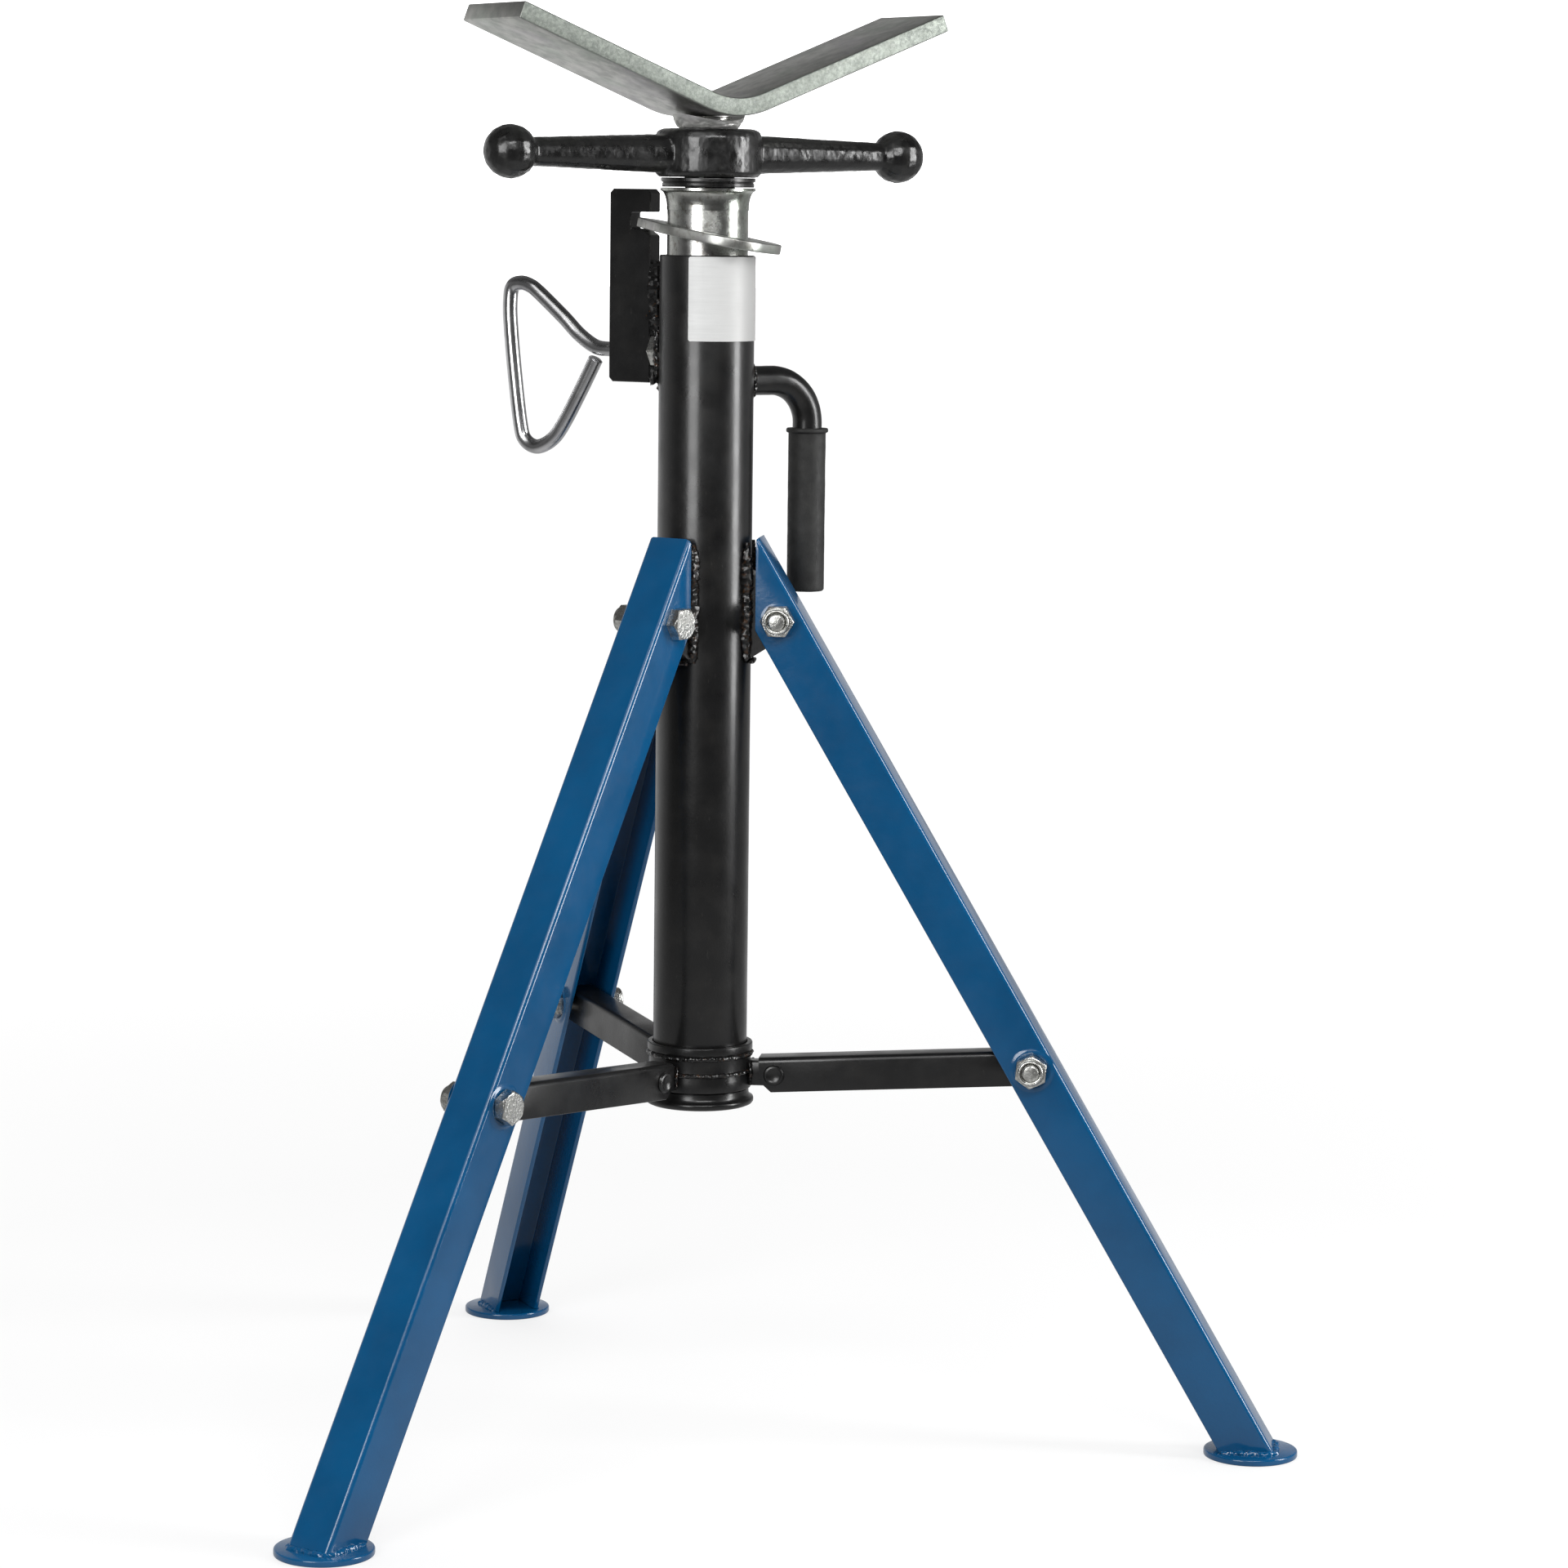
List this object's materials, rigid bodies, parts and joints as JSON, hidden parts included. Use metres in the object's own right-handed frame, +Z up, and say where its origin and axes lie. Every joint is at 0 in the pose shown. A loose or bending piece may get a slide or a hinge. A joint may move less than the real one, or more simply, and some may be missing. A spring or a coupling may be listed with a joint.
{
  "type": "pipe jack stand",
  "caption": "Folding tripod jack stand with a telescoping column, a screw-raised V head for pipe, a tilting lock ring, a wire pin and a carrying handle.",
  "frame": {"origin": "on the ground, under the middle of the stand's bounding box (the column stands 57.7 mm towards -X and 20.0 mm towards -Y of it)", "axes": "+Z up along the column; the pictured side faces -Y; the right leg stands towards +X"},
  "size_m": [0.536, 0.571, 0.7715],
  "materials": {
    "blue_paint": "gloss enamel",
    "black_paint": "satin enamel",
    "cast_black": "rough black coated casting",
    "zinc_plate": "zinc plated, faint grain",
    "bright_wire": "bright plated wire",
    "plated_bolt": "zinc plated hardware",
    "black_rubber": "matte",
    "silver_foil": "bare silver sticker"
  },
  "bodies": {
    "frame_tube": {"outer_tube": "black_paint", "tube_stop_ring": "black_paint", "label_plate": "silver_foil", "latch_bar": "black_paint", "pin_guide_nut": "plated_bolt", "carry_handle": "black_paint", "handle_grip": "black_rubber", "leg_lug_right": "black_paint", "leg_lug_rear": "black_paint", "leg_lug_left": "black_paint", "pivot_shank_right": "plated_bolt", "pivot_shank_rear": "plated_bolt", "pivot_shank_left": "plated_bolt"},
    "collar": {"sliding_collar": "black_paint"},
    "lift_tube": {"inner_tube": "zinc_plate", "tube_top_seat": "zinc_plate", "thrust_ring": "cast_black"},
    "turn_nut": {"handle_nut": "cast_black"},
    "head_screw": {"lift_screw": "zinc_plate", "screw_end_stop": "zinc_plate", "v_head": "zinc_plate"},
    "ring_plate": {"lock_ring": "zinc_plate"},
    "wire_pin": {"lock_pin": "bright_wire"},
    "brace_arm_right": {"brace_right": "black_paint", "brace_rivet_right": "black_paint"},
    "leg_arm_right": {"leg_right": "blue_paint", "foot_right": "blue_paint", "pivot_bolt_right": "plated_bolt", "pivot_thread_right": "plated_bolt", "pivot_nut_right": "plated_bolt", "brace_bolt_right": "plated_bolt", "brace_nut_right": "plated_bolt"},
    "brace_arm_rear": {"brace_rear": "black_paint", "brace_rivet_rear": "black_paint"},
    "leg_arm_rear": {"leg_rear": "blue_paint", "foot_rear": "blue_paint", "pivot_bolt_rear": "plated_bolt", "pivot_thread_rear": "plated_bolt", "pivot_nut_rear": "plated_bolt", "brace_bolt_rear": "plated_bolt", "brace_nut_rear": "plated_bolt"},
    "brace_arm_left": {"brace_left": "black_paint", "brace_rivet_left": "black_paint"},
    "leg_arm_left": {"leg_left": "blue_paint", "foot_left": "blue_paint", "pivot_bolt_left": "plated_bolt", "pivot_thread_left": "plated_bolt", "pivot_nut_left": "plated_bolt", "brace_bolt_left": "plated_bolt", "brace_nut_left": "plated_bolt"}
  },
  "joints": [
    {"name": "collar_slide", "type": "slide", "parent": "frame_tube", "child": "collar", "axis": [0, 0, 1], "range_m": [0, 0.11064]},
    {"name": "brace_fold_right", "type": "hinge", "parent": "collar", "child": "brace_arm_right", "pos_m": [-0.0165, -0.02554, 0.2017], "axis": [0.1323, 0.9912, 0], "range_deg": [0, 93.34]},
    {"name": "leg_fold_right", "type": "hinge", "parent": "brace_arm_right", "child": "leg_arm_right", "pos_m": [0.12218, -0.04404, 0.21], "axis": [-0.1323, -0.9912, 0], "range_deg": [0, 63.04]},
    {"name": "brace_fold_rear", "type": "hinge", "parent": "collar", "child": "brace_arm_rear", "pos_m": [-0.07358, 0.01842, 0.2017], "axis": [-0.9245, -0.3811, 0], "range_deg": [0, 93.34]},
    {"name": "leg_fold_rear", "type": "hinge", "parent": "brace_arm_rear", "child": "leg_arm_rear", "pos_m": [-0.1269, 0.14778, 0.21], "axis": [0.9245, 0.3811, 0], "range_deg": [0, 63.04]},
    {"name": "brace_fold_left", "type": "hinge", "parent": "collar", "child": "brace_arm_left", "pos_m": [-0.08311, -0.053, 0.2017], "axis": [0.7923, -0.6101, 0], "range_deg": [0, 93.34]},
    {"name": "leg_fold_left", "type": "hinge", "parent": "brace_arm_left", "child": "leg_arm_left", "pos_m": [-0.16848, -0.16384, 0.21], "axis": [-0.7923, 0.6101, 0], "range_deg": [0, 63.04]},
    {"name": "inner_tube_slide", "type": "slide", "parent": "frame_tube", "child": "lift_tube", "axis": [0, 0, 1], "range_m": [0, 0.3556]},
    {"name": "nut_turn", "type": "hinge", "parent": "lift_tube", "child": "turn_nut", "pos_m": [-0.05773, -0.02004, 0.696], "axis": [0, 0, -1], "range_deg": [0, 7200]},
    {"name": "screw_lift", "type": "slide", "parent": "lift_tube", "child": "head_screw", "axis": [0, 0, 1], "range_m": [0, 0.1]},
    {"name": "ring_tilt", "type": "hinge", "parent": "frame_tube", "child": "ring_plate", "pos_m": [-0.09098, 0.00074, 0.659], "axis": [-0.5299, -0.848, 0], "range_deg": [0, 9.4]},
    {"name": "pin_slide", "type": "slide", "parent": "frame_tube", "child": "wire_pin", "axis": [0.848, -0.5299, 0], "range_m": [-0.012, 0.0034]}
  ],
  "couplings": [
    {"joint": "brace_fold_right", "follows": "collar_slide", "rad_per_m": 14.717},
    {"joint": "leg_fold_right", "follows": "collar_slide", "rad_per_m": 9.9372},
    {"joint": "brace_fold_rear", "follows": "collar_slide", "rad_per_m": 14.717},
    {"joint": "leg_fold_rear", "follows": "collar_slide", "rad_per_m": 9.9372},
    {"joint": "brace_fold_left", "follows": "collar_slide", "rad_per_m": 14.717},
    {"joint": "leg_fold_left", "follows": "collar_slide", "rad_per_m": 9.9372},
    {"joint": "nut_turn", "follows": "screw_lift", "rad_per_m": 1256.6}
  ]
}
